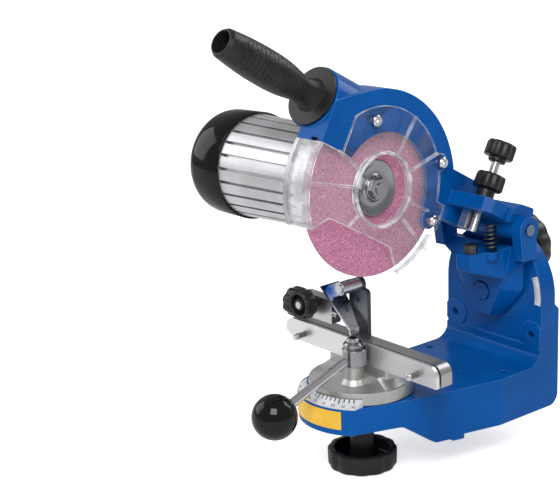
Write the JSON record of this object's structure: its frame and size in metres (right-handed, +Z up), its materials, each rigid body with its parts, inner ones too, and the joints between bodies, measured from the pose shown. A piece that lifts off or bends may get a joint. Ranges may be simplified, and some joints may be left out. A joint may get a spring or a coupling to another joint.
{
  "type": "bench chain grinder",
  "caption": "Bench-mounted electric saw-chain grinder: blue cast base and arm, ribbed motor with black cap, clear wheel guard, pink grinding wheel, swivelling chain vise.",
  "frame": {"origin": "midway between the two bench bolt holes, on the plane that rests on the bench top", "axes": "+Z up out of the bench, +Y to the rear (wall side of the column), +X to the side of the wheel nut; the user stands at -Y"},
  "size_m": [0.289, 0.3023, 0.3748],
  "materials": {
    "blue_enamel": "gloss enamel",
    "machined_alloy": "satin, as machined",
    "cast_alloy": "die-cast, satin",
    "plated_steel": "zinc plated",
    "chrome": "bright",
    "dark_steel": "blackened",
    "black_plastic": "moulded, fine grain",
    "gloss_black": "polished",
    "black_rubber": "textured grip",
    "clear_plastic": "clear moulded plastic",
    "abrasive": "pink bonded grit",
    "scale_white": "printed scale",
    "yellow_plate": "plain plate",
    "copper_wire": "varnished windings",
    "core_steel": "laminated"
  },
  "bodies": {
    "base": {"base_casting": "blue_enamel", "angle_scale": "scale_white", "side_plate": "yellow_plate", "tilt_scale": "scale_white"},
    "table": {"turntable": "machined_alloy", "swivel_stud": "plated_steel", "swivel_washer": "plated_steel", "rear_jaw": "plated_steel", "guide_screws": "plated_steel", "cam_bolt": "chrome", "stop_post": "dark_steel", "stop_pin": "plated_steel"},
    "table_knob": {"swivel_knob": "black_plastic"},
    "clamp_lever": {"cam_hub": "chrome", "lever_rod": "chrome", "lever_ball": "gloss_black"},
    "clamp_jaw": {"front_jaw": "plated_steel"},
    "chain_stop": {"stop_arm": "plated_steel", "stop_blade": "chrome", "stop_holder": "plated_steel"},
    "stop_adjuster": {"adjust_screw": "plated_steel", "adjust_knob": "black_plastic"},
    "stop_locker": {"stop_lock_screw": "plated_steel", "stop_lock_knob": "black_plastic"},
    "head": {"tilt_bracket": "blue_enamel", "tilt_pivot_bolt": "dark_steel", "tilt_lock_stud": "plated_steel", "tilt_lock_washer": "plated_steel", "hinge_pin": "plated_steel", "depth_stop_bolt": "dark_steel", "return_spring": "dark_steel"},
    "tilt_knob": {"tilt_lock_knob": "black_plastic"},
    "arm": {"arm_casting": "blue_enamel", "screw_guide": "plated_steel", "clear_guard": "clear_plastic", "guard_trim": "dark_steel", "guard_screws": "chrome", "handle_grip": "black_rubber", "handle_stud": "plated_steel", "motor_body": "cast_alloy", "motor_end_shield": "cast_alloy", "motor_rear_shield": "cast_alloy", "motor_cap": "gloss_black", "stator_core": "core_steel", "stator_windings": "copper_wire", "bearings": "chrome", "switch_box": "black_plastic", "cable_gland": "black_plastic", "capacitor": "cast_alloy"},
    "rotor": {"rotor_shaft": "plated_steel", "rotor_core": "core_steel", "cooling_fan": "black_plastic", "inner_flange": "cast_alloy", "outer_flange": "plated_steel", "flange_nut": "plated_steel", "grinding_wheel": "abrasive"},
    "switch": {"rocker_switch": "gloss_black"},
    "depth_rod": {"depth_screw": "plated_steel"},
    "depth_dial": {"depth_knob": "black_plastic"},
    "depth_locker": {"depth_lock_knob": "black_plastic"}
  },
  "joints": [
    {"name": "table_swivel", "type": "hinge", "parent": "base", "child": "table", "pos_m": [-0.0155, -0.1075, 0.04], "axis": [0, 0, 1], "range_deg": [-35, 35]},
    {"name": "table_knob_turn", "type": "hinge", "parent": "table", "child": "table_knob", "pos_m": [-0.0155, -0.1075, 0], "axis": [0, 0, 1], "continuous": true},
    {"name": "clamp_lever_turn", "type": "hinge", "parent": "table", "child": "clamp_lever", "pos_m": [-0.0085, -0.122, 0.066], "axis": [0, 0, 1], "range_deg": [0, 60]},
    {"name": "clamp_jaw_slide", "type": "slide", "parent": "table", "child": "clamp_jaw", "axis": [0, 1, 0], "range_m": [0, 0.0016]},
    {"name": "chain_stop_swing", "type": "hinge", "parent": "table", "child": "chain_stop", "pos_m": [-0.0315, -0.1075, 0.1225], "axis": [0, 1, 0], "range_deg": [0, 35]},
    {"name": "stop_adjuster_turn", "type": "hinge", "parent": "chain_stop", "child": "stop_adjuster", "pos_m": [-0.0815, -0.1065, 0.0952], "axis": [-1, 0, 0], "continuous": true},
    {"name": "stop_locker_turn", "type": "hinge", "parent": "chain_stop", "child": "stop_locker", "pos_m": [-0.0685, -0.1115, 0.103], "axis": [0, -1, 0], "continuous": true},
    {"name": "head_tilt", "type": "hinge", "parent": "base", "child": "head", "pos_m": [0, 0.0335, 0.097], "axis": [0, 1, 0], "range_deg": [0, 35]},
    {"name": "tilt_knob_turn", "type": "hinge", "parent": "head", "child": "tilt_knob", "pos_m": [-0.00137, 0.0505, 0.12647], "axis": [0, 1, 0], "continuous": true},
    {"name": "arm_pitch", "type": "hinge", "parent": "head", "child": "arm", "pos_m": [-0.00275, 0.0249, 0.15614], "axis": [0.9989, 0, 0.0464], "range_deg": [0, 19], "stiffness_Nm_per_rad": 6, "springref_deg": -80.21, "deforming": ["return_spring"]},
    {"name": "wheel_spin", "type": "hinge", "parent": "arm", "child": "rotor", "pos_m": [-0.02051, -0.0878, 0.20447], "axis": [0.9989, 0, 0.0464], "continuous": true},
    {"name": "switch_rock", "type": "hinge", "parent": "arm", "child": "switch", "pos_m": [-0.13499, -0.03701, 0.16909], "axis": [0.0236, 0.8607, -0.5085], "range_deg": [-16, 0]},
    {"name": "depth_dial_turn", "type": "hinge", "parent": "depth_rod", "child": "depth_dial", "pos_m": [0.00915, 0.02803, 0.21252], "axis": [0.0399, -0.509, -0.8598], "range_deg": [-1445, 5]},
    {"name": "depth_rod_travel", "type": "slide", "parent": "arm", "child": "depth_rod", "axis": [0.0399, -0.509, -0.8598], "range_m": [-0.005, 0]},
    {"name": "depth_locker_turn", "type": "hinge", "parent": "arm", "child": "depth_locker", "pos_m": [0.01064, 0.00899, 0.18037], "axis": [-0.0399, 0.509, 0.8598], "continuous": true}
  ],
  "couplings": [
    {"joint": "clamp_jaw_slide", "follows": "clamp_lever_turn", "m_per_rad": 0.0013273},
    {"joint": "depth_dial_turn", "follows": "depth_rod_travel", "rad_per_m": 5026.5}
  ]
}
